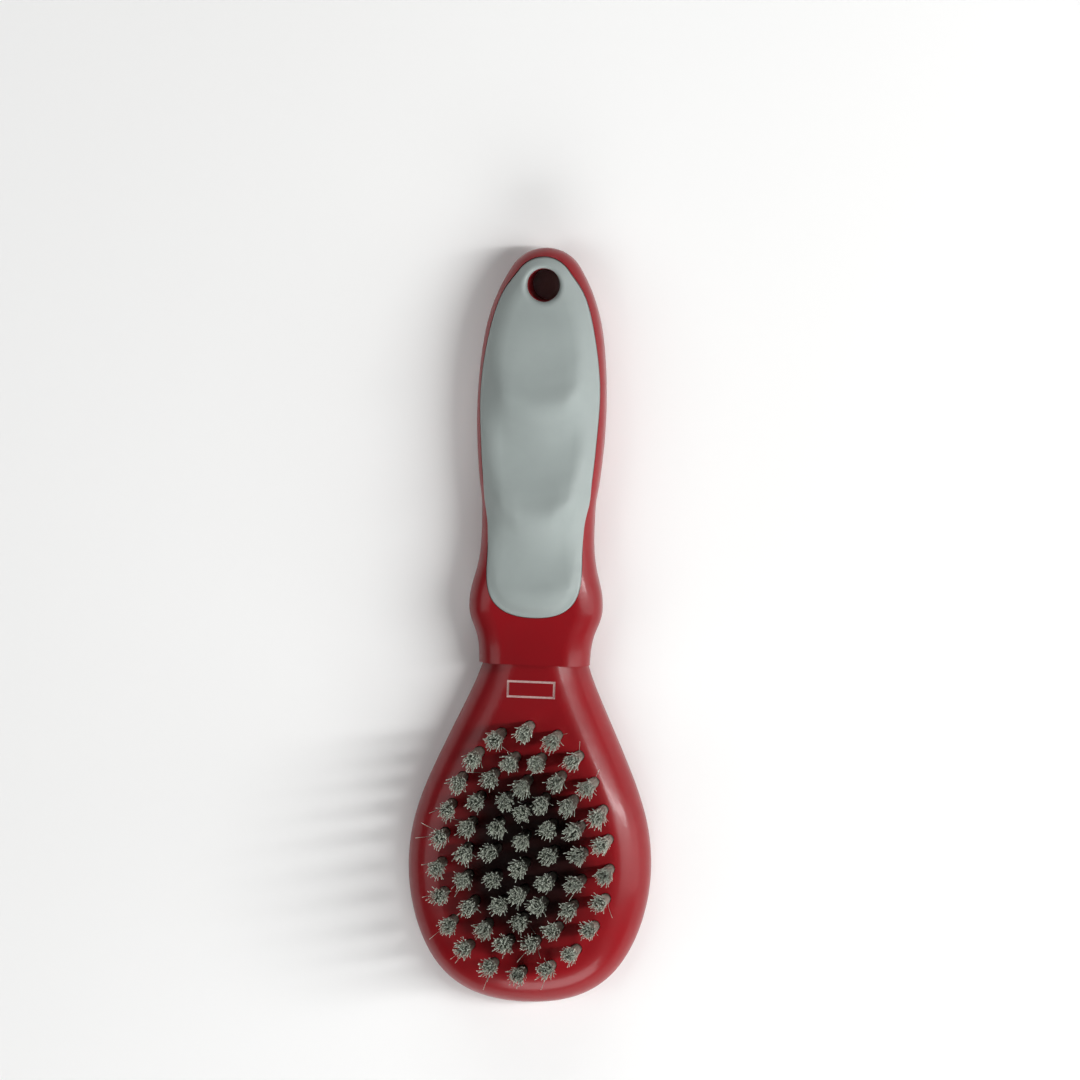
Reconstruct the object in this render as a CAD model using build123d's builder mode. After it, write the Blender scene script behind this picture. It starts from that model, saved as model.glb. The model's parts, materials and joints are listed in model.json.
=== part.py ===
"""A pet bristle brush: a two-shell head with drilled tufts, plugged into a two-shot comfort handle.

The brush lies on its back. +Z comes out of the bristle face, +Y runs up the handle and X is across.
The origin is on the resting plane, at the middle of the brush's length and width. Units are mm.
"""
from build123d import *
import os
from math import cos, hypot, pi, radians, sin

os.makedirs("parts", exist_ok=True)

# ---------------------------------------------------------------- driving dimensions
half_length = 102.5  # the whole brush is twice this
joint_y = -9.8  # where the head meets the mouth of the handle's collar
sky_z = 40.0  # above every solid
spline_tolerance = 0.005

# head
head_half_width = 33.0
neck_half_width = 14.2
neck_top_z = 14.4
neck_back_z = 0.9
head_crown_z = 15.0  # highest point of the bristle face
head_tip_top_z = 13.6
head_crown_radius = 250.0  # across the face
crown_half_arc = 10.0  # degrees, a little more than the head takes up
head_top_round = 10.0
head_back_round = 2.6
back_rise_y = -40.0  # the back is flat below this and rises towards the neck
seam_z = 5.8  # bristle block above, back cover below
cover_end_y = -14.0
cover_gap = 0.1
cover_floor_z = 2.2
cover_wall = 4.4
rib_thickness = 1.4

# tongue and groove round the seam of the head, and its locating pins
tongue_inset = 2.4
tongue_width = 1.2
tongue_height = 1.2
fit_gap = 0.1
pin_radius = 1.5
pin_top_z = 7.4
pin_spread_x = 30.0
pin_spread_y = 48.0

# bristle tufts
field_y = -59.4  # centre of the tuft field
tuft_tip_z = 31.5
tuft_mouth_z = 14.2
tuft_hole_radius = 1.55
tuft_hole_floor_z = 8.2
tuft_base_radius = 1.4
tuft_tip_radius = 2.4
rings = {  # count, half-width, half-length, where it is widest, and its first tuft in pitches
    "outer": (22, 22.7, 33.2, -5.4, 0.0),
    "middle": (18, 15.6, 25.4, -3.4, 0.5),
    "inner": (12, 7.9, 18.6, -1.7, 0.0),
}
centre_count = 4
centre_pitch = 7.4
ring_steps = 720  # chords that measure the length of a ring
anchor_size = (3.5, 0.45, 1.8)
anchor_lift = 0.6  # depth of the folded filaments below the anchor
anchor_gap = 0.03

# handle
nose_radius = 10.6
nose_arc = 58.0  # degrees of it on each side
palm_half_width = 17.3
waist = (15.1, 26.0)  # half-width and place
flare = (18.0, 5.8)
mouth_half_width = 15.0
handle_round = 7.2
run_out = 6.0  # the top line runs this far past both ends
grip_nose_radius = 8.2
grip_nose_arc = 55.0
grip_nose_y = 100.3
grip_end_y = 3.0
grip_gap = 0.1
pocket_floor_z = 11.0
carrier_thickness = 2.0
core_y = 51.0  # the carrier's seat, the cavity below it and its hump share this middle
core_width = 23.6
core_length = 66.0
core_corner = 6.0
seat_ledge = 1.8
shell_floor_z = 2.4
shell_rib_ys = (35.0, 52.0, 69.0)
hump_top_z = 14.6
hump_margin = 2.3
hump_wall = 1.8
key_radius = 2.0
key_ys = (31.0, 52.0, 73.0)

# hanging hole
hole_y = 92.6
hole_radius = 4.3
hole_tube_radius = 6.3
hole_tube_top_z = 13.2
hole_chamfer = 0.8
hole_lip_radius = 4.5

# tang of the head and its socket in the collar
tang_half_width = 9.5
tang_root = 2.0
tang_end_y = 13.0
tang_low_z = 3.2
tang_high_z = 8.8
tang_lead = 1.0
barb_start_y = 3.0
barb_end_y = 7.0
barb_height = 0.9
socket_gap = 0.15
socket_end_y = 14.0

# plain recessed frame on the neck
badge_y = -16.4
badge_length = 13.0
badge_height = 4.6
badge_round = 0.6
badge_line = 0.5
badge_floor_z = 14.1


# ---------------------------------------------------------------- plan outlines
def mirrored_plan(draw_half):
    """A closed face from the lines of its right half."""
    with BuildSketch() as plan:
        with BuildLine():
            draw_half()
            mirror(about=Plane.YZ)
        make_face()
    return plan.sketch


def nose_end(top_y, radius, arc_size):
    """Where a nose arc that starts on the Y axis ends, and its direction there."""
    angle = radians(90.0 - arc_size)
    end = (radius * cos(angle), top_y - radius + radius * sin(angle))
    return end, (sin(angle), -cos(angle))


def head_half():
    """From the middle of the neck round to the tip of the head."""
    Line((0, joint_y), (neck_half_width, joint_y))
    Spline(
        (neck_half_width, joint_y),
        (18.8, -21.3),
        (25.8, -36.6),
        (31.4, -51.9),
        (head_half_width, -67.0),
        (28.2, -86.8),
        (0, -half_length),
        tangents=[(0.3, -1), (-1, 0)],
    )


def handle_half():
    """From the nose of the handle past the palm, waist and flare to the mouth of the collar."""
    CenterArc((0, half_length - nose_radius), nose_radius, 90.0 - nose_arc, nose_arc)
    shoulder, heading = nose_end(half_length, nose_radius, nose_arc)
    Spline(
        shoulder,
        (12.4, 91.1),
        (15.3, 82.0),
        (16.75, 71.5),
        (palm_half_width, 60.0),
        (16.95, 49.0),
        (15.8, 37.5),
        waist,
        tangents=[heading, (0, -1)],
    )
    Bezier(waist, (waist[0], 14.0), (flare[0], 13.0), flare)
    Spline(flare, (16.1, -1.4), (mouth_half_width, joint_y), tangents=[(0, -1), (0, -1)])
    Line((mouth_half_width, joint_y), (0, joint_y))


def grip_half():
    """From the nose of the soft grip past its waist to its rounded lower end."""
    CenterArc(
        (0, grip_nose_y - grip_nose_radius),
        grip_nose_radius,
        90.0 - grip_nose_arc,
        grip_nose_arc,
    )
    shoulder, heading = nose_end(grip_nose_y, grip_nose_radius, grip_nose_arc)
    Spline(
        shoulder,
        (10.1, 92.2),
        (13.0, 85.0),
        (15.1, 75.0),
        (16.2, 63.5),
        (15.75, 52.0),
        (14.8, 40.5),
        (13.3, 30.5),
        (12.85, 21.0),
        tangents=[heading, (0, -1)],
    )
    Bezier((12.85, 21.0), (12.85, 14.0), (14.9, grip_end_y), (0, grip_end_y))


head_plan = mirrored_plan(head_half)
handle_plan = mirrored_plan(handle_half)
grip_plan = mirrored_plan(grip_half)


def inset(plan, amount, low_y=-half_length, high_y=half_length):
    """The plan moved in by amount all round, between two Y values, with plain splines for edges."""
    with BuildSketch() as inner:
        add(plan)
        if amount:
            offset(amount=-amount, mode=Mode.REPLACE)
        with Locations((0, (low_y + high_y) / 2)):
            Rectangle(4 * head_half_width, high_y - low_y, mode=Mode.INTERSECT)
    with BuildSketch() as plain:
        add(inner.sketch.to_splines(tolerance=spline_tolerance).edges())
        make_face()
    return plain.sketch


# ---------------------------------------------------------------- outer forms
def off_the_joint(edge):
    """True for an edge that isn't on the plane where the head meets the handle."""
    return abs(edge.center().Y - joint_y) > 0.1


# The whole head, before it is parted into block and cover.
with BuildPart() as head_form:
    with BuildSketch():
        add(head_plan)
    extrude(amount=sky_z)
    crown_axis_z = head_crown_z - head_crown_radius
    # the crown's profile starts beside the head, so that its surface has no seam on it
    crown_start = (cos(radians(crown_half_arc)), 0, -sin(radians(crown_half_arc)))
    with BuildSketch(Plane((0, 0, crown_axis_z), x_dir=(0, 1, 0), z_dir=crown_start)):
        with BuildLine():
            Spline(
                (joint_y, neck_top_z - crown_axis_z),
                (field_y, head_crown_radius),
                (-half_length, head_tip_top_z - crown_axis_z),
                tangents=[(-1, 0.02), (-1, -0.06)],
            )
            Polyline(
                (-half_length, head_tip_top_z - crown_axis_z),
                (-half_length, 0),
                (joint_y, 0),
                (joint_y, neck_top_z - crown_axis_z),
            )
        make_face()
    crown_axis = Axis((0, 0, crown_axis_z), (0, -1, 0))
    revolve(axis=crown_axis, revolution_arc=2 * crown_half_arc, mode=Mode.INTERSECT)
    with BuildSketch(Plane.YZ):
        with BuildLine():
            Spline(
                (joint_y, neck_back_z),
                (back_rise_y, 0.0),
                tangents=[(-1, -0.07), (-1, 0)],
            )
            Polyline((back_rise_y, 0.0), (joint_y, 0.0), (joint_y, neck_back_z))
        make_face()
    extrude(amount=head_half_width, both=True, mode=Mode.SUBTRACT)
    face = head_form.faces().filter_by(GeomType.PLANE, reverse=True).sort_by(Axis.Z)[-1]
    fillet(face.edges().filter_by(off_the_joint), head_top_round)
    back_edges = head_form.edges().filter_by(off_the_joint).filter_by_position(
        Axis.Z, -0.1, neck_back_z + 0.05
    )
    fillet(back_edges, head_back_round)


def handle_form(top_line):
    """The rounded envelope of the handle under the given top line."""
    first, last = top_line[0], top_line[-1]
    with BuildPart() as form:
        with BuildSketch():
            add(handle_plan)
        extrude(amount=sky_z)
        with BuildSketch(Plane.YZ.offset(-head_half_width)):
            with BuildLine():
                Spline(*top_line)
                Polyline(last, (last[0], -1.0), (first[0], -1.0), first)
            make_face()
        extrude(amount=2 * head_half_width, mode=Mode.INTERSECT)
        crest = form.faces().sort_by(Axis.Z)[-1]
        fillet(crest.edges().filter_by(off_the_joint), handle_round)
        foot = form.faces().sort_by(Axis.Z)[0]
        fillet(foot.edges().filter_by(off_the_joint), handle_round)
    return form.part


# The hard shell's top line runs over the collar and flare. The grip's has three finger hollows.
shell_line = [
    (joint_y - run_out, 15.5),
    (0.0, 15.8),
    (6.0, 16.6),
    (30.0, 17.4),
    (60.0, 18.0),
    (84.0, 17.2),
    (half_length + run_out, 14.2),
]
grip_line = [
    (joint_y - run_out, 16.2),
    (4.0, 17.0),
    (12.0, 16.5),
    (23.5, 18.5),
    (33.5, 16.9),
    (53.5, 19.2),
    (63.5, 17.6),
    (76.0, 18.0),
    (88.0, 17.7),
    (half_length + run_out, 14.6),
]
shell_form = handle_form(shell_line)
grip_form = handle_form(grip_line)


# ---------------------------------------------------------------- tuft places
def egg_point(half_width, ring_half_length, widest, angle):
    """A point of an egg-shaped ring whose widest line is off the centre of the field."""
    reach = ring_half_length - widest if sin(angle) > 0 else ring_half_length + widest
    return half_width * cos(angle), field_y + widest + reach * sin(angle)


def ring_points(count, half_width, ring_half_length, widest, first):
    """Evenly spaced points round a ring, counted from the end nearest the handle."""
    outline = [
        egg_point(half_width, ring_half_length, widest, pi / 2 - 2 * pi * i / ring_steps)
        for i in range(ring_steps + 1)
    ]
    travelled = [0.0]
    for (x0, y0), (x1, y1) in zip(outline, outline[1:]):
        travelled.append(travelled[-1] + hypot(x1 - x0, y1 - y0))
    places = []
    for i in range(count):
        target = (i + first) * travelled[-1] / count
        nearest = min(range(ring_steps), key=lambda k: abs(travelled[k] - target))
        places.append(outline[nearest])
    return places


centre_row = [
    (0.0, field_y + (i - (centre_count - 1) / 2) * centre_pitch) for i in range(centre_count)
]
ring_places = {name: ring_points(*numbers) for name, numbers in rings.items()}
all_places = [place for places in ring_places.values() for place in places] + centre_row
anchor_low_z = tuft_hole_floor_z + anchor_lift


# ---------------------------------------------------------------- bristle block
cover_plan = inset(head_plan, 0.0, -half_length, cover_end_y)
with BuildSketch() as tongue_plan:
    add(inset(cover_plan, tongue_inset))
    add(inset(cover_plan, tongue_inset + tongue_width), mode=Mode.SUBTRACT)
with BuildSketch() as groove_plan:
    add(inset(cover_plan, tongue_inset - fit_gap))
    add(inset(cover_plan, tongue_inset + tongue_width + fit_gap), mode=Mode.SUBTRACT)

with BuildPart() as bristle_block:
    add(head_form.part)
    # the back cover's half is left away
    with BuildSketch():
        with Locations((0, (cover_end_y - 2 * half_length) / 2)):
            Rectangle(4 * head_half_width, 2 * half_length + cover_end_y)
    extrude(amount=seam_z, mode=Mode.SUBTRACT)
    # groove and sockets for the cover
    with BuildSketch(Plane.XY.offset(seam_z)):
        add(groove_plan.sketch)
        with Locations((0, field_y)):
            with GridLocations(pin_spread_x, pin_spread_y, 2, 2):
                Circle(pin_radius + fit_gap)
    extrude(amount=pin_top_z + fit_gap - seam_z, mode=Mode.SUBTRACT)
    # blind tuft holes, each with a slit that its anchor has cut
    with BuildSketch(Plane.XY.offset(tuft_hole_floor_z)):
        with Locations(*all_places):
            Circle(tuft_hole_radius)
    extrude(amount=sky_z, mode=Mode.SUBTRACT)
    with BuildSketch(Plane.XY.offset(anchor_low_z - anchor_gap)):
        with Locations(*all_places):
            Rectangle(anchor_size[0] + 2 * anchor_gap, anchor_size[1] + 2 * anchor_gap)
    extrude(amount=anchor_size[2] + 2 * anchor_gap, mode=Mode.SUBTRACT)
    # tang with a snap barb on each side
    with BuildSketch(Plane.XY.offset(tang_low_z)):
        with BuildLine():
            Polyline(
                (0, joint_y - tang_root),
                (tang_half_width, joint_y - tang_root),
                (tang_half_width, barb_start_y),
                (tang_half_width + barb_height, barb_start_y),
                (tang_half_width, barb_end_y),
                (tang_half_width, tang_end_y - tang_lead),
                (tang_half_width - tang_lead, tang_end_y),
                (0, tang_end_y),
            )
            mirror(about=Plane.YZ)
        make_face()
    extrude(amount=tang_high_z - tang_low_z)
    # plain recessed frame on the neck
    with BuildSketch(Plane.XY.offset(badge_floor_z)):
        with Locations((0, badge_y)):
            RectangleRounded(badge_length, badge_height, badge_round)
            RectangleRounded(
                badge_length - 2 * badge_line,
                badge_height - 2 * badge_line,
                badge_round / 2,
                mode=Mode.SUBTRACT,
            )
    extrude(amount=sky_z, mode=Mode.SUBTRACT)
bristle_block.part.label = "bristle_block"
export_step(bristle_block.part, "parts/bristle_block.step")


# ---------------------------------------------------------------- back cover of the head
with BuildPart() as head_back_cover:
    add(head_form.part)
    # the bristle block's half is left away, with its solid neck
    with BuildSketch(Plane.XY.offset(seam_z)):
        Rectangle(4 * head_half_width, 4 * half_length)
    extrude(amount=sky_z, mode=Mode.SUBTRACT)
    with BuildSketch():
        with Locations((0, cover_end_y - cover_gap + half_length)):
            Rectangle(4 * head_half_width, 2 * half_length)
    extrude(amount=sky_z, mode=Mode.SUBTRACT)
    # hollow, leaving a lengthwise and a crosswise rib
    with BuildSketch(Plane.XY.offset(cover_floor_z)):
        add(inset(cover_plan, cover_wall))
        with Locations((0, field_y)):
            Rectangle(rib_thickness, 2 * half_length, mode=Mode.SUBTRACT)
            Rectangle(2 * head_half_width, rib_thickness, mode=Mode.SUBTRACT)
    extrude(amount=sky_z, mode=Mode.SUBTRACT)
    with BuildSketch(Plane.XY.offset(seam_z)):
        add(tongue_plan.sketch)
    extrude(amount=tongue_height)
    with BuildSketch(Plane.XY.offset(cover_floor_z)):
        with Locations((0, field_y)):
            with GridLocations(pin_spread_x, pin_spread_y, 2, 2):
                Circle(pin_radius)
    extrude(amount=pin_top_z - cover_floor_z)
head_back_cover.part.label = "head_back_cover"
export_step(head_back_cover.part, "parts/head_back_cover.step")


# ---------------------------------------------------------------- tufts and their anchors
with BuildPart() as tuft_anchors:
    with BuildSketch(Plane.XY.offset(anchor_low_z)):
        with Locations(*all_places):
            Rectangle(anchor_size[0], anchor_size[1])
    extrude(amount=anchor_size[2])
tuft_anchors.part.label = "tuft_anchors"
export_step(tuft_anchors.part, "parts/tuft_anchors.step")


def write_tufts(name, places):
    """Export one node with a folded bundle of filaments at each place."""
    with BuildPart() as tufts:
        with BuildSketch(Plane.XY.offset(tuft_hole_floor_z)):
            with Locations(*places):
                Circle(tuft_base_radius)
        extrude(amount=tuft_mouth_z - tuft_hole_floor_z)
        for x, y in places:
            with BuildSketch(Plane.XY.offset(tuft_mouth_z)):
                with Locations((x, y)):
                    Circle(tuft_base_radius)
            with BuildSketch(Plane.XY.offset(tuft_tip_z)):
                with Locations((x, y)):
                    Circle(tuft_tip_radius)
            loft()
        # the anchor lies in the fold
        with BuildSketch(Plane.XY.offset(anchor_low_z - anchor_gap)):
            with Locations(*places):
                Rectangle(anchor_size[0] + 2 * anchor_gap, anchor_size[1] + 2 * anchor_gap)
        extrude(amount=anchor_size[2] + 2 * anchor_gap, mode=Mode.SUBTRACT)
    tufts.part.label = name
    export_step(tufts.part, f"parts/{name}.step")


for ring_name, places in ring_places.items():
    for number, place in enumerate(places, start=1):
        write_tufts(f"{ring_name}_tuft_{number:02d}", [place])
write_tufts("centre_tufts", centre_row)


# ---------------------------------------------------------------- handle shell
seat_floor_z = pocket_floor_z - carrier_thickness


def is_hole_rim(edge):
    """True for a circle of the hanging hole."""
    return edge.geom_type == GeomType.CIRCLE and abs(edge.radius - hole_radius) < fit_gap


def core(margin, low_z, high_z):
    """A block with the carrier's rounded plan between two heights, smaller all round by a margin."""
    with BuildPart() as block:
        with BuildSketch(Plane.XY.offset(low_z)):
            with Locations((0, core_y)):
                RectangleRounded(
                    core_width - 2 * margin, core_length - 2 * margin, core_corner - margin
                )
        extrude(amount=high_z - low_z)
    return block.part


with BuildPart() as handle_shell:
    add(shell_form)
    # pocket for the grip, seat for its carrier, and the cavity below with its ribs
    with BuildSketch(Plane.XY.offset(pocket_floor_z)):
        add(grip_plan)
    extrude(amount=sky_z, mode=Mode.SUBTRACT)
    add(core(0.0, seat_floor_z, pocket_floor_z), mode=Mode.SUBTRACT)
    with BuildSketch(Plane.XY.offset(shell_floor_z)):
        with Locations((0, core_y)):
            RectangleRounded(
                core_width - 2 * seat_ledge,
                core_length - 2 * seat_ledge,
                core_corner - seat_ledge,
            )
        with Locations(*[(0, y) for y in shell_rib_ys]):
            Rectangle(2 * head_half_width, rib_thickness, mode=Mode.SUBTRACT)
    extrude(amount=seat_floor_z - shell_floor_z, mode=Mode.SUBTRACT)
    # tube of the hanging hole
    with BuildSketch(Plane.XY.offset(shell_floor_z / 2)):
        with Locations((0, hole_y)):
            Circle(hole_tube_radius)
    extrude(amount=hole_tube_top_z - shell_floor_z / 2)
    with Locations((0, hole_y, hole_tube_top_z)):
        Hole(hole_radius)
    chamfer(handle_shell.edges().filter_by(is_hole_rim).sort_by(Axis.Z)[0], hole_chamfer)
    # socket for the head's tang, with a window for its barbs
    with BuildSketch(Plane.XY.offset(tang_low_z - socket_gap)):
        with Locations((0, (joint_y + socket_end_y) / 2)):
            Rectangle(2 * (tang_half_width + socket_gap), socket_end_y - joint_y)
        with Locations((0, (barb_start_y + barb_end_y) / 2)):
            Rectangle(
                2 * (tang_half_width + barb_height + socket_gap),
                barb_end_y - barb_start_y + 2 * socket_gap,
            )
    extrude(amount=tang_high_z - tang_low_z + 2 * socket_gap, mode=Mode.SUBTRACT)
handle_shell.part.label = "handle_shell"
export_step(handle_shell.part, "parts/handle_shell.step")


# ---------------------------------------------------------------- grip carrier
outer_hump = core(hump_margin, pocket_floor_z, hump_top_z)
with BuildPart() as grip_carrier:
    add(core(grip_gap, seat_floor_z, pocket_floor_z))
    add(outer_hump)
    add(core(hump_margin + hump_wall, seat_floor_z, hump_top_z - hump_wall), mode=Mode.SUBTRACT)
    with Locations(*[(0, y, hump_top_z) for y in key_ys]):
        Hole(key_radius)
grip_carrier.part.label = "grip_carrier"
export_step(grip_carrier.part, "parts/grip_carrier.step")


# ---------------------------------------------------------------- soft grip
with BuildPart() as comfort_grip:
    add(grip_form)
    with BuildSketch(Plane.XY.offset(pocket_floor_z)):
        add(inset(grip_plan, grip_gap))
    extrude(amount=sky_z, mode=Mode.INTERSECT)
    add(outer_hump, mode=Mode.SUBTRACT)
    # keys through the carrier
    with BuildSketch(Plane.XY.offset(hump_top_z - hump_wall)):
        with Locations(*[(0, y) for y in key_ys]):
            Circle(key_radius)
    extrude(amount=2 * hump_wall)
    # the tube of the hanging hole stands in a wider bore below the lip
    with BuildSketch(Plane.XY.offset(pocket_floor_z)):
        with Locations((0, hole_y)):
            Circle(hole_tube_radius + grip_gap)
    extrude(amount=hole_tube_top_z + grip_gap - pocket_floor_z, mode=Mode.SUBTRACT)
    with Locations((0, hole_y, sky_z)):
        Hole(hole_lip_radius)
comfort_grip.part.label = "comfort_grip"
export_step(comfort_grip.part, "parts/comfort_grip.step")
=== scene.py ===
"""Looks of the pet bristle brush: moulded red plastic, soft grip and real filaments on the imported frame."""

import json
import math

import bpy
import numpy as np
from mathutils import Matrix, Vector


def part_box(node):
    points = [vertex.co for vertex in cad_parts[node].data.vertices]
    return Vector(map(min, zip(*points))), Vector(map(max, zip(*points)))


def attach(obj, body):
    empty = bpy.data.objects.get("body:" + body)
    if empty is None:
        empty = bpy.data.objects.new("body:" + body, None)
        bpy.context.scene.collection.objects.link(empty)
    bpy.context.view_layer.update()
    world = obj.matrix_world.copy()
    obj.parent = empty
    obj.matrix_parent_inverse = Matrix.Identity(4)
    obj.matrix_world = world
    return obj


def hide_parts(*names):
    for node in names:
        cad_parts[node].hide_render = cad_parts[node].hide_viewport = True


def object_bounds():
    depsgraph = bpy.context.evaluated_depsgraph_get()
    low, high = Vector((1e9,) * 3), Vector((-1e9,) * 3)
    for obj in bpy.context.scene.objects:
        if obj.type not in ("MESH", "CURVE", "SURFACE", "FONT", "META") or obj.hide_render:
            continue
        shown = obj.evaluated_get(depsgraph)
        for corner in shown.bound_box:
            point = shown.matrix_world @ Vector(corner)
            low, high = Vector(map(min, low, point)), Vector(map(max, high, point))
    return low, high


MM = 0.001
SEED = 20640

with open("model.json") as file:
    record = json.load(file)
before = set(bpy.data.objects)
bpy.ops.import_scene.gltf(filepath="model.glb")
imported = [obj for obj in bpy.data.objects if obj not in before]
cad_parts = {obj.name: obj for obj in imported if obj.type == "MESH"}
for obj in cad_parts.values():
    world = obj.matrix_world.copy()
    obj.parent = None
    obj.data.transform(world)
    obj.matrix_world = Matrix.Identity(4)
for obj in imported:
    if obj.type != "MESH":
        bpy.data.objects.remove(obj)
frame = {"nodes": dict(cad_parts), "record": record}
cad_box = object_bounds()
nodes = frame["nodes"]
mounts = {m["name"]: m for m in frame["record"]["mounts"]}
rng = np.random.default_rng(SEED)


# ---------------------------------------------------------------- node helpers
class Graph:
    """A material's node tree with short calls for the nodes that it needs."""

    def __init__(self, name):
        self.material = bpy.data.materials.new(name)
        self.material.use_nodes = True
        self.tree = self.material.node_tree
        self.shader = self.tree.nodes["Principled BSDF"]
        self.place = self.add("ShaderNodeTexCoord").outputs["Object"]

    def add(self, kind, **settings):
        node = self.tree.nodes.new(kind)
        for key, value in settings.items():
            setattr(node, key, value)
        return node

    def join(self, source, target):
        if isinstance(source, (int, float)):
            target.default_value = source
        else:
            self.tree.links.new(source, target)

    def math(self, operation, a, b=0.0, clamp=False):
        node = self.add("ShaderNodeMath", operation=operation, use_clamp=clamp)
        self.join(a, node.inputs[0])
        self.join(b, node.inputs[1])
        return node.outputs[0]

    def noise(self, size, detail=3.0, roughness=0.5, stretch=(1, 1, 1), distortion=0.0):
        """Noise whose features are about this size, in metres."""
        scaled = self.add("ShaderNodeMapping")
        scaled.inputs["Scale"].default_value = [s / size for s in stretch]
        self.join(self.place, scaled.inputs["Vector"])
        node = self.add("ShaderNodeTexNoise")
        node.inputs["Scale"].default_value = 1.0
        node.inputs["Detail"].default_value = detail
        node.inputs["Roughness"].default_value = roughness
        node.inputs["Distortion"].default_value = distortion
        self.join(scaled.outputs[0], node.inputs["Vector"])
        return node.outputs["Fac"]

    def span(self, value, low, high, to_low, to_high, smooth=False):
        """The value moved from one range to another, held at the ends."""
        node = self.add("ShaderNodeMapRange")
        if smooth:
            node.interpolation_type = "SMOOTHSTEP"
        self.join(value, node.inputs[0])
        for socket, number in zip(node.inputs[1:5], (low, high, to_low, to_high)):
            socket.default_value = number
        return node.outputs[0]

    def blend(self, factor, a, b, mode="MIX"):
        node = self.add("ShaderNodeMix", data_type="RGBA", blend_type=mode)
        self.join(factor, node.inputs[0])
        for socket, colour in ((node.inputs[6], a), (node.inputs[7], b)):
            if isinstance(colour, tuple):
                socket.default_value = (*colour, 1.0)
            else:
                self.join(colour, socket)
        return node.outputs[2]

    def bump(self, layers):
        """Stacked bumps: (height, strength, distance in metres)."""
        normal = None
        for height, strength, distance in layers:
            node = self.add("ShaderNodeBump")
            node.inputs["Strength"].default_value = strength
            node.inputs["Distance"].default_value = distance
            self.join(height, node.inputs["Height"])
            if normal is not None:
                self.join(normal, node.inputs["Normal"])
            normal = node.outputs[0]
        self.join(normal, self.shader.inputs["Normal"])

    def put(self, socket, value):
        """Set a shader socket to a number or colour, or link it."""
        target = self.shader.inputs[socket]
        if isinstance(value, tuple):
            target.default_value = (*value, 1.0)
        else:
            self.join(value, target)


# ---------------------------------------------------------------- materials
def red_plastic(name, framed_with_painted_shade=False):
    """Moulded red plastic: satin skin with fine spark grain, faint flow marks and hairline rubs."""
    g = Graph(name)
    flow = g.noise(0.045, 2.0)
    mottle = g.noise(0.004, 3.0)
    grain = g.noise(0.00035, 2.0, 0.6)
    rubs = g.noise(0.0006, 2.0, 0.5, stretch=(1, 0.02, 1), distortion=0.3)
    rub_mask = g.span(rubs, 0.66, 0.72, 0.0, 1.0)
    colour = g.blend(g.span(flow, 0.3, 0.7, 0.0, 1.0), (0.225, 0.0042, 0.0078), (0.265, 0.0058, 0.0100))
    colour = g.blend(g.span(mottle, 0.35, 0.75, 0.0, 0.25), colour, (0.19, 0.0035, 0.0065))
    rough = g.math("ADD", g.span(mottle, 0.3, 0.7, 0.33, 0.39), g.math("MULTIPLY", rub_mask, 0.06))
    if framed_with_painted_shade:
        # painted shade: the block's face among the inner tufts is darkened towards black in its colour
        colour = g.blend(painted_shade_among_tufts(g), colour, PAINTED_SHADE_TINT)
        colour, rough = printed_frame(g, colour, rough)
    g.put("Base Color", colour)
    g.put("Roughness", rough)
    g.put("Specular IOR Level", 0.22)
    g.put("Coat Weight", 0.22)
    g.put("Coat Roughness", 0.14)
    g.bump([(flow, 0.2, 0.00006), (grain, 0.12, 0.00003)])
    return g.material


PAINTED_SHADE_Y = -63.0 * MM  # middle of the painted shade on the face among the tufts
PAINTED_SHADE_HALF = (23.0 * MM, 33.0 * MM)
PAINTED_SHADE_FADE = (0.45, 1.0)  # of the way out
PAINTED_SHADE_TINT = (0.012, 0.0035, 0.0035)


def painted_shade_among_tufts(g):
    """Painted shade on the face among the tufts, darkest in the middle of the field: it fades out towards the
    outer ring.
    """
    axes = g.add("ShaderNodeSeparateXYZ")
    g.join(g.place, axes.inputs[0])
    across = g.math("DIVIDE", axes.outputs[0], PAINTED_SHADE_HALF[0])
    along = g.math("DIVIDE", g.math("SUBTRACT", axes.outputs[1], PAINTED_SHADE_Y), PAINTED_SHADE_HALF[1])
    squares = g.math("ADD", g.math("MULTIPLY", across, across), g.math("MULTIPLY", along, along))
    reach = g.math("SQRT", squares)
    uneven = g.span(g.noise(0.006, 2.0), 0.3, 0.7, -0.05, 0.05)
    return g.span(g.math("ADD", reach, uneven), *PAINTED_SHADE_FADE, 0.96, 0.0, True)


FRAME_Y = -16.4 * MM
FRAME_HALF = (6.5 * MM, 2.3 * MM)
FRAME_LINE = 0.5 * MM


def printed_frame(g, colour, rough):
    """Pale ink in the recessed frame on the neck."""
    axes = g.add("ShaderNodeSeparateXYZ")
    g.join(g.place, axes.inputs[0])
    side = g.math("SUBTRACT", g.math("ABSOLUTE", axes.outputs[0]), FRAME_HALF[0])
    end = g.math("ABSOLUTE", g.math("SUBTRACT", axes.outputs[1], FRAME_Y))
    end = g.math("SUBTRACT", end, FRAME_HALF[1])
    reach = g.math("MAXIMUM", side, end)
    inside = g.math("LESS_THAN", reach, 0.03 * MM)
    outside = g.math("GREATER_THAN", reach, -FRAME_LINE - 0.03 * MM)
    ink = g.math("MULTIPLY", inside, outside)
    worn = g.span(g.noise(0.0006, 3.0), 0.35, 0.6, 0.75, 1.0)
    ink = g.math("MULTIPLY", ink, worn)
    return g.blend(ink, colour, (0.62, 0.45, 0.43)), g.math("ADD", rough, g.math("MULTIPLY", ink, 0.15))


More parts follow.
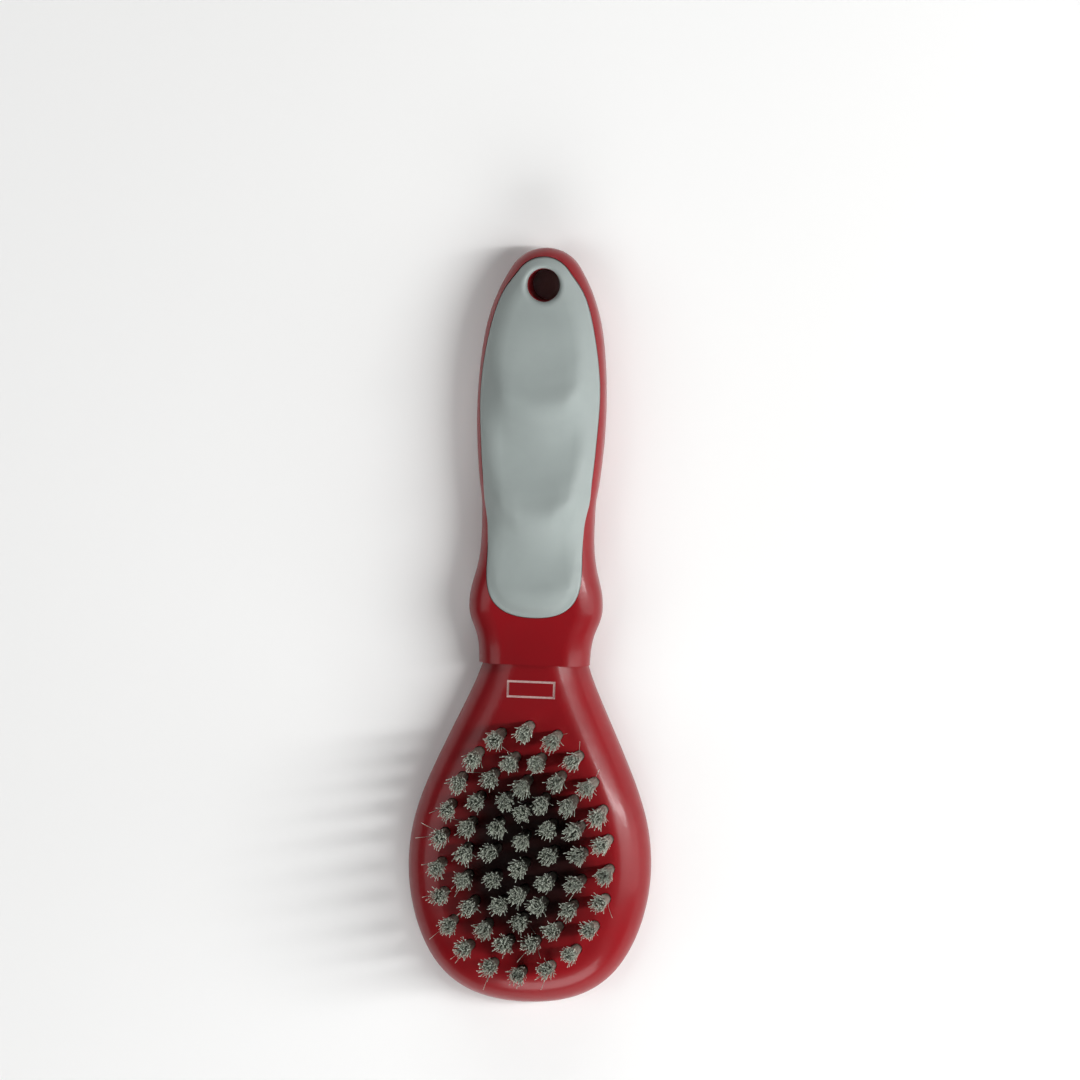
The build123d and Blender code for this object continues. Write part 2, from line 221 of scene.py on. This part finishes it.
def soft_grip():
    """Soft-touch rubber: matt, a very fine even grain, faint handling marks."""
    g = Graph("soft_grip_skin")
    cloud = g.noise(0.02, 3.0)
    smudge = g.noise(0.007, 4.0, 0.6)
    grain = g.noise(0.00022, 2.0, 0.6)
    fine = g.noise(0.0007, 2.0)
    colour = g.blend(g.span(cloud, 0.3, 0.7, 0.0, 1.0), (0.285, 0.325, 0.315), (0.320, 0.362, 0.350))
    colour = g.blend(g.span(smudge, 0.45, 0.75, 0.0, 0.22), colour, (0.255, 0.290, 0.282))
    g.put("Base Color", colour)
    g.put("Roughness", g.span(smudge, 0.3, 0.7, 0.50, 0.60))
    g.put("Specular IOR Level", 0.45)
    g.put("Sheen Weight", 0.12)
    g.put("Sheen Roughness", 0.4)
    g.bump([(fine, 0.10, 0.00004), (grain, 0.16, 0.00003)])
    return g.material


def bristle():
    """Nylon filament: pale cut ends on grey-brown flanks, each filament its own shade, and painted shade that
    darkens the flanks of the inner tufts.
    """
    g = Graph("nylon_filament")
    tone = g.add("ShaderNodeAttribute", attribute_name="tone").outputs["Fac"]
    height = g.add("ShaderNodeAttribute", attribute_name="height").outputs["Fac"]
    streak = g.noise(0.0012, 2.0, 0.5, stretch=(1, 1, 0.2))
    painted_flank_shade = g.add("ShaderNodeAttribute", attribute_name="painted_flank_shade").outputs["Fac"]
    flank = g.blend(tone, (0.26, 0.24, 0.195), (0.50, 0.475, 0.41))
    # painted shade: the flanks of the inner tufts are darkened nearly to black
    flank = g.blend(painted_flank_shade, flank, (0.022, 0.018, 0.014))
    tip = g.blend(tone, (0.36, 0.40, 0.34), (0.72, 0.77, 0.67))
    colour = g.blend(g.span(height, 0.62, 0.98, 0.0, 1.0, True), flank, tip)
    colour = g.blend(g.span(streak, 0.35, 0.7, 0.0, 0.3), colour, (0.28, 0.26, 0.22))
    g.put("Base Color", colour)
    g.put("Roughness", g.span(streak, 0.3, 0.7, 0.34, 0.46))
    g.put("Specular IOR Level", 0.5)
    g.bump([(streak, 0.15, 0.00002)])
    return g.material


def drawn_steel():
    """Flat drawn wire: bright, streaked along its length."""
    g = Graph("drawn_steel")
    streak = g.noise(0.0004, 3.0, stretch=(0.05, 1, 1))
    g.put("Base Color", g.blend(g.span(streak, 0.3, 0.7, 0.0, 1.0), (0.50, 0.49, 0.47), (0.64, 0.63, 0.61)))
    g.put("Metallic", 1.0)
    g.put("Roughness", g.span(streak, 0.3, 0.7, 0.28, 0.42))
    g.bump([(streak, 0.2, 0.00002)])
    return g.material


def carrier_plastic():
    """Plain grey moulding compound, matt, as it leaves the tool."""
    g = Graph("carrier_plastic")
    flow = g.noise(0.012, 3.0)
    grain = g.noise(0.0004, 2.0)
    g.put("Base Color", g.blend(g.span(flow, 0.3, 0.7, 0.0, 1.0), (0.19, 0.20, 0.20), (0.25, 0.26, 0.26)))
    g.put("Roughness", g.span(grain, 0.3, 0.7, 0.5, 0.62))
    g.bump([(grain, 0.2, 0.00003)])
    return g.material


def pale_floor():
    """Smooth pale board under the brush."""
    g = Graph("pale_floor")
    cloud = g.noise(0.4, 2.0)
    g.put("Base Color", g.blend(g.span(cloud, 0.3, 0.7, 0.0, 1.0), (0.90, 0.90, 0.89), (0.93, 0.93, 0.925)))
    g.put("Roughness", 0.6)
    g.put("Specular IOR Level", 0.2)
    return g.material


shell_red = red_plastic("red_moulding")
block_red = red_plastic("red_block_moulding", framed_with_painted_shade=True)
grip_skin = soft_grip()
filament_nylon = bristle()


def coat(node, material):
    """Give a CAD node a material in all its slots."""
    mesh = nodes[node].data
    if not mesh.materials:
        mesh.materials.append(material)
    for i in range(len(mesh.materials)):
        mesh.materials[i] = material


coat("bristle_block", block_red)
coat("head_back_cover", shell_red)
coat("handle_shell", shell_red)
coat("grip_carrier", carrier_plastic())
coat("tuft_anchors", drawn_steel())


def new_piece(name, points, faces, material, smooth=True):
    mesh = bpy.data.meshes.new(name)
    mesh.from_pydata([tuple(p) for p in points], [], faces)
    mesh.validate()
    if smooth:
        mesh.polygons.foreach_set("use_smooth", [True] * len(mesh.polygons))
    mesh.materials.append(material)
    piece = bpy.data.objects.new(name, mesh)
    bpy.context.scene.collection.objects.link(piece)
    return piece


# ---------------------------------------------------------------- tufts
FILAMENT_PAIRS = 80  # each is one filament folded under the anchor
FILAMENT_RADIUS = 0.086 * MM
SIDES = 4
HOLE_MOUTH_Z = 14.2 * MM
ANCHOR_LOW_Z, ANCHOR_HIGH_Z = 8.8 * MM, 10.6 * MM
ANCHOR_HALF = 0.225 * MM
BUNDLE_RADIUS = 1.4 * MM
SPLAY_SPREAD = (0.6, 1.5)  # how much of the tuft's widening one filament takes
BEND_MM = 0.42
CURL_MM = 0.50
UNEVEN_TIP_MM = 0.40
OWN_LEAN_MM = 0.28
INWARD_LEAN = 0.7 * MM
STRAY_RADIUS = FILAMENT_RADIUS * 0.75
STRAY_SHADE = 0.75
STRAY_REACH_MM = (2.2, 5.5)
STRAY_CHANCE = (0.15, 1.0)  # everywhere, and added where most strays are
STRAY_SIDE = math.radians(140)  # the direction from the field's middle where most strays are
FIELD_HALF = np.array([22 * MM, 33 * MM])
FLANK_SHADE_RATE, FLANK_SHADE_MOST = 1.7, 0.93  # how fast and how far painted shade darkens the flanks towards the middle
TIP_STEPS = np.array([0.12, 0.28, 0.46, 0.64, 0.82, 0.93, 1.0])


def sunflower(count, radius):
    """Evenly spread points of a disc."""
    k = np.arange(count) + 0.5
    angle = k * math.pi * (3.0 - math.sqrt(5.0))
    reach = radius * np.sqrt(k / count)
    return np.stack([reach * np.cos(angle), reach * np.sin(angle)], 1)


def leg(base, centre, lean, tip_radius, tip_z):
    """Points of one half of a filament from above the anchor to its cut end."""
    splay = tip_radius / BUNDLE_RADIUS - 1.0
    bend_angle = rng.uniform(0, 2 * math.pi)
    bend = abs(rng.normal(0, BEND_MM)) * MM
    curl_angle = rng.uniform(0, 2 * math.pi)
    curl = abs(rng.normal(0, CURL_MM)) * MM
    outward = splay * rng.uniform(*SPLAY_SPREAD)
    top = tip_z + rng.normal(0, UNEVEN_TIP_MM) * MM
    rows = [(*(centre + base * 0.96), ANCHOR_HIGH_Z + 0.3 * MM), (*(centre + base), HOLE_MOUTH_Z)]
    for t in TIP_STEPS:
        xy = centre + base * (1 + outward * (0.45 * t + 0.55 * t**3.2)) + lean * t**1.6
        xy = xy + bend * t**2 * np.array([math.cos(bend_angle), math.sin(bend_angle)])
        xy = xy + curl * t**5 * np.array([math.cos(curl_angle), math.sin(curl_angle)])
        rows.append((*xy, HOLE_MOUTH_Z + (top - HOLE_MOUTH_Z) * t))
    return rows


def stray(centre, heading, reach, tip_z):
    """One thin filament that has sprung out of the bundle."""
    angle = heading + rng.normal(0, 0.5)
    out = np.array([math.cos(angle), math.sin(angle)])
    across = np.array([-out[1], out[0]]) * rng.normal(0, 0.12) * reach
    start = centre + out * BUNDLE_RADIUS * 0.85
    rows = [(*(centre + out * BUNDLE_RADIUS * 0.8), ANCHOR_HIGH_Z), (*start, HOLE_MOUTH_Z)]
    top = tip_z - abs(rng.normal(0, 1.0)) * MM - reach * 0.25
    for t in TIP_STEPS:
        xy = start + out * reach * t**1.7 + across * t**2
        rows.append((*xy, HOLE_MOUTH_Z + (top - HOLE_MOUTH_Z) * t))
    return rows


def tube(path, radius, points, faces, tones, heights, tone, first_cap, tip_z):
    """Add a round filament along a path, with a domed cut end at the far end and maybe at the near one."""
    path = np.array(path)
    along = np.gradient(path, axis=0)
    along /= np.linalg.norm(along, axis=1)[:, None]
    side = np.array([1.0, 0.0, 0.0]) - along * along[:, :1]
    side /= np.linalg.norm(side, axis=1)[:, None]
    other = np.cross(along, side)
    turns = np.arange(SIDES) * 2 * math.pi / SIDES
    start = len(points)
    rings = (
        path[:, None, :]
        + radius * np.cos(turns)[None, :, None] * side[:, None, :]
        + radius * np.sin(turns)[None, :, None] * other[:, None, :]
    )
    level = np.clip((path[:, 2] - HOLE_MOUTH_Z) / (tip_z - HOLE_MOUTH_Z), 0, 1)
    for ring, height in zip(rings, level):
        points.extend(ring)
        tones.extend([tone] * SIDES)
        heights.extend([height] * SIDES)
    for k in range(len(path) - 1):
        a, b = start + k * SIDES, start + (k + 1) * SIDES
        for s in range(SIDES):
            n = (s + 1) % SIDES
            faces.append((a + s, a + n, b + n, b + s))
    caps = [(len(path) - 1, 1.0)]
    if first_cap:
        caps.append((0, -1.0))
    for k, way in caps:
        hub = len(points)
        points.append(path[k] + along[k] * way * radius * 0.35)
        tones.append(min(1.0, tone + 0.25))
        heights.append(level[k])
        ring = start + k * SIDES
        for s in range(SIDES):
            n = (s + 1) % SIDES
            faces.append((ring + s, ring + n, hub) if way > 0 else (ring + n, ring + s, hub))


def build_tuft(name, spots, tip_z, tip_radius, lean_of, strays_of):
    """One piece that holds the filaments of one or more tufts."""
    points, faces, tones, heights, painted_flank_shades = [], [], [], [], []
    for spot in spots:
        spot = np.array(spot)
        lean = lean_of(spot)
        shade = rng.normal(0.5, 0.10)
        for x, y in sunflower(2 * FILAMENT_PAIRS, BUNDLE_RADIUS - FILAMENT_RADIUS):
            if y < 0:
                continue
            y = max(y, 0.12 * MM)
            near, far = np.array([x, y]), np.array([x, -y])
            depth = ANCHOR_LOW_Z - FILAMENT_RADIUS - 0.3 * MM * y / BUNDLE_RADIUS
            half = ANCHOR_HALF + FILAMENT_RADIUS + 0.25 * y
            fold = [
                (spot[0] + x * 0.9, spot[1] + half, ANCHOR_LOW_Z + 0.5 * MM),
                (spot[0] + x * 0.9, spot[1] + half * 0.7, depth + 0.08 * MM),
                (spot[0] + x * 0.9, spot[1], depth),
                (spot[0] + x * 0.9, spot[1] - half * 0.7, depth + 0.08 * MM),
                (spot[0] + x * 0.9, spot[1] - half, ANCHOR_LOW_Z + 0.5 * MM),
            ]
            one = leg(near, spot, lean, tip_radius, tip_z)
            two = leg(far, spot, lean, tip_radius, tip_z)
            tone = float(np.clip(rng.normal(shade, 0.22), 0, 1))
            radius = FILAMENT_RADIUS * rng.uniform(0.9, 1.06)
            path = one[::-1] + fold + two
            tube(path, radius, points, faces, tones, heights, tone, True, tip_z)
        for heading, reach in strays_of(spot):
            path = stray(spot, heading, reach, tip_z)
            tube(path, STRAY_RADIUS, points, faces, tones, heights, STRAY_SHADE, False, tip_z)
        # painted shade on the flanks, stronger the nearer the tuft stands to the middle of the field
        inside = 1.0 - np.linalg.norm((spot - field) / FIELD_HALF)
        painted_flank_shade = float(np.clip(FLANK_SHADE_RATE * inside, 0, FLANK_SHADE_MOST))
        painted_flank_shades.extend([painted_flank_shade] * (len(points) - len(painted_flank_shades)))
    piece = new_piece(name, points, faces, filament_nylon)
    for label, values in (("tone", tones), ("height", heights), ("painted_flank_shade", painted_flank_shades)):
        attribute = piece.data.attributes.new(label, "FLOAT", "POINT")
        attribute.data.foreach_set("value", np.array(values, np.float32))
    return piece


tuft_nodes = sorted(n for n in nodes if "_tuft" in n)
outer_boxes = [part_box(n) for n in tuft_nodes if n.startswith("outer")]
field = np.array([0.0, np.mean([(lo.y + hi.y) / 2 for lo, hi in outer_boxes])])


def lean_of(spot):
    """Tufts near the rim lean a little towards the middle, and each has a set of its own."""
    inward = field - spot
    far = np.linalg.norm(inward)
    own = rng.normal(0, OWN_LEAN_MM, 2) * MM
    return inward / max(far, 1e-6) * INWARD_LEAN * min(1.0, (far / (30 * MM)) ** 2) + own


def strays_of(spot):
    """A few sprung filaments, mostly on the left and at the handle's end of the field."""
    away = spot - field
    heading = math.atan2(away[1], away[0])
    rim = min(1.0, np.linalg.norm(away / FIELD_HALF))
    chance = STRAY_CHANCE[0] + STRAY_CHANCE[1] * rim * (0.5 + 0.5 * math.cos(heading - STRAY_SIDE))
    count = rng.poisson(chance)
    return [(heading, rng.uniform(*STRAY_REACH_MM) * MM) for _ in range(count)]


for node in tuft_nodes:
    low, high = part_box(node)
    tip_radius = (high.x - low.x) / 2
    if node == "centre_tufts":
        ys = np.array([v.co.y for v in nodes[node].data.vertices])
        pitch = (high.y - low.y - 2 * tip_radius) / 3
        spots = [(0.0, low.y + tip_radius + i * pitch) for i in range(4)]
    else:
        spots = [((low.x + high.x) / 2, (low.y + high.y) / 2)]
    piece = build_tuft(node + "_filaments", spots, high.z, tip_radius, lean_of, strays_of)
    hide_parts(node)
    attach(piece, "root")


# ---------------------------------------------------------------- soft grip
HOLE = np.array(mounts["hanging_hole"]["pos_m"][:2])
GRIP_HOLE_RADIUS = 4.5 * MM
TUBE_BORE_RADIUS = 6.4 * MM
TUBE_TOP_Z = 13.3 * MM
GRIP_LOW_Z = 11.0 * MM
SHOULDER = 7.2 * MM  # the round of the handle's edge
LIP = 1.5 * MM
EDGE = 0.45 * MM
PROUD = 0.30 * MM
SIDE_COUNT = 420
WAIST_REACH = 6
WAIST_OVERLAP = 0.28 * MM
WAIST_LOW = (20 * MM, 28 * MM)
WAIST_HIGH = (34 * MM, 42 * MM)
SHELL_TOP = [(-16, 15.5), (0, 15.8), (6, 16.6), (30, 17.4), (60, 18.0), (84, 17.2), (108.5, 14.2)]
MIDDLE_RISE = [(-5, 0.8), (3, 0.9), (8, 0.6), (13, -0.8), (19, -1.1), (24.5, 0.1), (30.5, 2.2), (36, 0.8),
               (42, -0.6), (49, -0.7), (54, 0.6), (60, 2.3), (66, 1.1), (73, 0.0), (82, -0.1), (90, 0.4),
               (96, 0.5), (105, 0.3)]
CROWN = 1.3 * MM  # how far the middle stands above the sides
CROWN_HALF = 15.5 * MM
SWEEP = 5.5 * MM  # how far the ends of a ridge curve up the handle


def smooth_curve(knots):
    """A function through the knots, in metres, with no corners."""
    xs = np.array([k[0] for k in knots]) * MM
    ys = np.array([k[1] for k in knots]) * MM
    slopes = np.gradient(ys, xs)

    def at(x):
        x = np.clip(x, xs[0], xs[-1])
        i = np.clip(np.searchsorted(xs, x) - 1, 0, len(xs) - 2)
        h = xs[i + 1] - xs[i]
        t = (x - xs[i]) / h
        return (
            ys[i] * (1 + 2 * t) * (1 - t) ** 2
            + slopes[i] * h * t * (1 - t) ** 2
            + ys[i + 1] * t * t * (3 - 2 * t)
            + slopes[i + 1] * h * t * t * (t - 1)
        )

    return at


def ease(x, low, high):
    t = np.clip((x - low) / (high - low), 0, 1)
    return t * t * (3 - 2 * t)


def node_points(node):
    mesh = nodes[node].data
    co = np.zeros(len(mesh.vertices) * 3, np.float32)
    mesh.vertices.foreach_get("co", co)
    return co.reshape(-1, 3).astype(float)


def round_order(points, centre):
    """Distinct points of a closed outline, in order round a centre that sees all of it."""
    angle = np.arctan2(points[:, 1] - centre[1], points[:, 0] - centre[0])
    points = points[np.argsort(angle)]
    keep = [0]
    for i in range(1, len(points)):
        if np.linalg.norm(points[i] - points[keep[-1]]) > 0.02 * MM:
            keep.append(i)
    return points[keep]


def respaced(points, count):
    """The closed outline as evenly spaced points."""
    loop = np.vstack([points, points[:1]])
    travelled = np.concatenate([[0], np.cumsum(np.linalg.norm(np.diff(loop, axis=0), axis=1))])
    at = np.arange(count) * travelled[-1] / count
    return np.stack([np.interp(at, travelled, loop[:, k]) for k in range(2)], 1)


def distance_to(loop, points):
    """Shortest distance from each point to a closed outline."""
    a, b = loop, np.roll(loop, -1, axis=0)
    ab = b - a
    best = np.full(len(points), 1e9)
    for i in range(len(a)):
        ap = points - a[i]
        t = np.clip((ap @ ab[i]) / (ab[i] @ ab[i]), 0, 1)
        best = np.minimum(best, np.linalg.norm(ap - t[:, None] * ab[i], axis=1))
    return best


def grip_outline():
    points = node_points("comfort_grip")
    low = points[points[:, 2] < GRIP_LOW_Z + 0.05 * MM][:, :2]
    clear_of_tube = np.linalg.norm(low - HOLE, axis=1) > TUBE_BORE_RADIUS + 0.6 * MM
    in_cavity = (np.abs(low[:, 0]) < 9.7 * MM) & (low[:, 1] > 19 * MM) & (low[:, 1] < 83 * MM)
    return round_order(low[clear_of_tube & ~in_cavity], HOLE)


def handle_outline():
    points = node_points("handle_shell")
    level = points[np.abs(points[:, 2] - SHOULDER) < 0.03 * MM][:, :2]
    outer = level[(np.abs(level[:, 0]) > 12.5 * MM) | (level[:, 1] > 97 * MM)]
    return round_order(outer, np.array([0.0, 40 * MM]))


def eased_waist(loop):
    """The outline with its waist drawn out smoothly, a little over the lip of the handle's pocket."""
    shifts = range(-WAIST_REACH, WAIST_REACH + 1)
    smooth = sum(np.roll(loop, k, axis=0) for k in shifts) / len(shifts)
    smooth[:, 0] += np.sign(smooth[:, 0]) * WAIST_OVERLAP
    y = loop[:, 1]
    weight = ease(y, *WAIST_LOW) * (1 - ease(y, *WAIST_HIGH)) * (np.abs(loop[:, 0]) > 8 * MM)
    return loop + (smooth - loop) * weight[:, None]


outline = eased_waist(respaced(grip_outline(), SIDE_COUNT))
rim = handle_outline()
shell_top, middle_rise = map(smooth_curve, (SHELL_TOP, MIDDLE_RISE))


def grip_top(points):
    """Height of the soft grip's skin: a crown with three finger hollows, and edges that follow the handle."""
    x, y = np.abs(points[:, 0]), points[:, 1]
    to_rim = distance_to(rim, points)
    to_edge = distance_to(outline, points)
    swept = y - SWEEP * (x / (13 * MM)) ** 2
    rise = middle_rise(swept) * (1 - 0.6 * ease(x, 9 * MM, 15 * MM))
    rise = rise + CROWN * (1 - (x / CROWN_HALF) ** 2) * (1 - ease(y, 78 * MM, 92 * MM))
    rise = PROUD + rise * ease(to_edge, -3 * MM, 9 * MM) * ease(to_edge, 0, 3 * MM)
    drop = SHOULDER - np.sqrt(np.maximum(SHOULDER**2 - (SHOULDER - np.minimum(to_rim, SHOULDER)) ** 2, 0))
    z = shell_top(y) + rise - drop
    near = np.minimum(to_edge, EDGE)
    z = z - (EDGE - np.sqrt(EDGE**2 - (EDGE - near) ** 2))
    lip = np.minimum(np.linalg.norm(points - HOLE, axis=1) - GRIP_HOLE_RADIUS, LIP)
    return z - (LIP - np.sqrt(np.maximum(LIP**2 - (LIP - np.maximum(lip, 0)) ** 2, 0)))


def build_grip():
    start_steps = np.array([0.0, 0.04, 0.12, 0.24, 0.4, 0.6, 0.85, 1.15, 1.5]) * MM
    end_steps = np.array([1.3, 0.8, 0.5, 0.32, 0.2, 0.11, 0.05, 0.015, 0.0]) * MM
    middle_count = 130
    rows = len(start_steps) + middle_count + len(end_steps)
    grid = np.zeros((SIDE_COUNT, rows, 2))
    for i, end in enumerate(outline):
        heading = end - HOLE
        length = np.linalg.norm(heading)
        heading = heading / length
        far = length - GRIP_HOLE_RADIUS
        middle = np.linspace(start_steps[-1], far - end_steps[0], middle_count + 2)[1:-1]
        steps = np.concatenate([start_steps, middle, far - end_steps])
        grid[i] = HOLE + heading * (GRIP_HOLE_RADIUS + steps)[:, None]
    flat = grid.reshape(-1, 2)
    top = np.column_stack([flat, grip_top(flat)]).reshape(SIDE_COUNT, rows, 3)
    around = (outline - HOLE) / np.linalg.norm(outline - HOLE, axis=1)[:, None]

    def ring(plan, z):
        return np.column_stack([plan, np.full(SIDE_COUNT, z)])[:, None, :]

    bore = [
        ring(HOLE + around * TUBE_BORE_RADIUS, GRIP_LOW_Z),
        ring(HOLE + around * TUBE_BORE_RADIUS, TUBE_TOP_Z),
        ring(HOLE + around * GRIP_HOLE_RADIUS, TUBE_TOP_Z),
    ]
    wall = [ring(outline, GRIP_LOW_Z)]
    whole = np.concatenate([*bore, top, *wall], axis=1)
    count = whole.shape[1]
    faces = []
    for i in range(SIDE_COUNT):
        n = (i + 1) % SIDE_COUNT
        for j in range(count):
            m = (j + 1) % count
            faces.append((i * count + j, n * count + j, n * count + m, i * count + m))
    piece = new_piece("comfort_grip_skin", whole.reshape(-1, 3), faces, grip_skin)
    bpy.context.view_layer.objects.active = piece
    piece.select_set(True)
    bpy.ops.object.mode_set(mode="EDIT")
    bpy.ops.mesh.select_all(action="SELECT")
    bpy.ops.mesh.normals_make_consistent(inside=False)
    bpy.ops.object.mode_set(mode="OBJECT")
    piece.data.set_sharp_from_angle(angle=math.radians(50))
    return piece


grip = build_grip()
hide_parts("comfort_grip")
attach(grip, "root")


# ---------------------------------------------------------------- floor, light, camera
def floor():
    half = 4.0
    piece = new_piece("floor", [(-half, -half, 0), (half, -half, 0), (half, half, 0), (-half, half, 0)],
                      [(0, 1, 2, 3)], pale_floor(), smooth=False)


def softbox(name, place, target, size, power, colour=(1, 1, 1)):
    lamp = bpy.data.lights.new(name, "AREA")
    lamp.shape = "RECTANGLE"
    lamp.size, lamp.size_y = size
    lamp.energy = power
    lamp.color = colour
    holder = bpy.data.objects.new(name, lamp)
    holder.location = place
    holder.rotation_mode = "QUATERNION"
    holder.rotation_quaternion = (Vector(target) - Vector(place)).to_track_quat("-Z", "Y")
    holder.visible_camera = False
    bpy.context.scene.collection.objects.link(holder)


floor()
softbox("right_softbox", (0.80, 0.10, 0.76), (0, -0.02, 0), (0.08, 0.70), 6.0)
softbox("right_low", (1.00, -0.05, 0.50), (0, -0.02, 0), (0.6, 1.6), 8.0)
softbox("front_softbox", (0.25, -1.15, 0.60), (0, 0.0, 0), (1.1, 0.6), 11.0)
softbox("back_softbox", (-0.10, 1.10, 0.80), (0, 0.0, 0), (0.9, 0.35), 4.0)
softbox("left_fill", (-0.85, -0.1, 0.95), (0, -0.05, 0), (0.6, 1.0), 3.6)


SKY_BY_HEIGHT = (0.20, 0.65, 1.0, 0.06)  # from one height to the other, and the strength at each
SKY_BY_SIDE = (-0.8, 0.8, 0.14, 1.0)  # the same from left to right


def studio_world():
    """Bright near the horizon, most on the right, and dark overhead where the camera is."""
    world = bpy.data.worlds.new("studio")
    world.use_nodes = True
    tree = world.node_tree
    place = tree.nodes.new("ShaderNodeTexCoord")
    axes = tree.nodes.new("ShaderNodeSeparateXYZ")
    ramp = tree.nodes.new("ShaderNodeMapRange")
    ramp.interpolation_type = "SMOOTHSTEP"
    for socket, number in zip(ramp.inputs[1:5], SKY_BY_HEIGHT):
        socket.default_value = number
    tree.links.new(place.outputs["Generated"], axes.inputs[0])
    tree.links.new(axes.outputs[2], ramp.inputs[0])
    side = tree.nodes.new("ShaderNodeMapRange")
    for socket, number in zip(side.inputs[1:5], SKY_BY_SIDE):
        socket.default_value = number
    both = tree.nodes.new("ShaderNodeMath")
    both.operation = "MULTIPLY"
    tree.links.new(axes.outputs[0], side.inputs[0])
    tree.links.new(ramp.outputs[0], both.inputs[0])
    tree.links.new(side.outputs[0], both.inputs[1])
    tree.links.new(both.outputs[0], tree.nodes["Background"].inputs["Strength"])
    bpy.context.scene.world = world


studio_world()
bpy.context.scene.view_settings.view_transform = "Standard"

VIEW_WIDTH = 0.2912  # of the whole frame, at the brush
CAMERA_DISTANCE = 1.7
SENSOR = 36.0
low, high = cad_box
AIM_OFFSET = Vector((0.7, 23.75, 10.0)) * MM  # from the middle of the brush's length
BACK = Vector((0.105, 0.072, 1.0))  # from the brush to the camera
ROLL = math.radians(1.8)
aim = AIM_OFFSET + Vector((0, (low.y + high.y) / 2, 0))
back = BACK.normalized()
ahead = -back
right = ahead.cross(Vector((0, 1, 0))).normalized()
up = right.cross(ahead).normalized()
camera_up = up * math.cos(ROLL) - right * math.sin(ROLL)
camera_right = right * math.cos(ROLL) + up * math.sin(ROLL)
lens = bpy.data.cameras.new("camera")
lens.sensor_width = SENSOR
lens.lens = SENSOR * CAMERA_DISTANCE / VIEW_WIDTH
lens.clip_end = 50.0
camera = bpy.data.objects.new("camera", lens)
camera.matrix_world = Matrix.Translation(aim + back * CAMERA_DISTANCE) @ Matrix(
    (camera_right, camera_up, back)
).transposed().to_4x4()
bpy.context.scene.collection.objects.link(camera)
bpy.context.scene.camera = camera
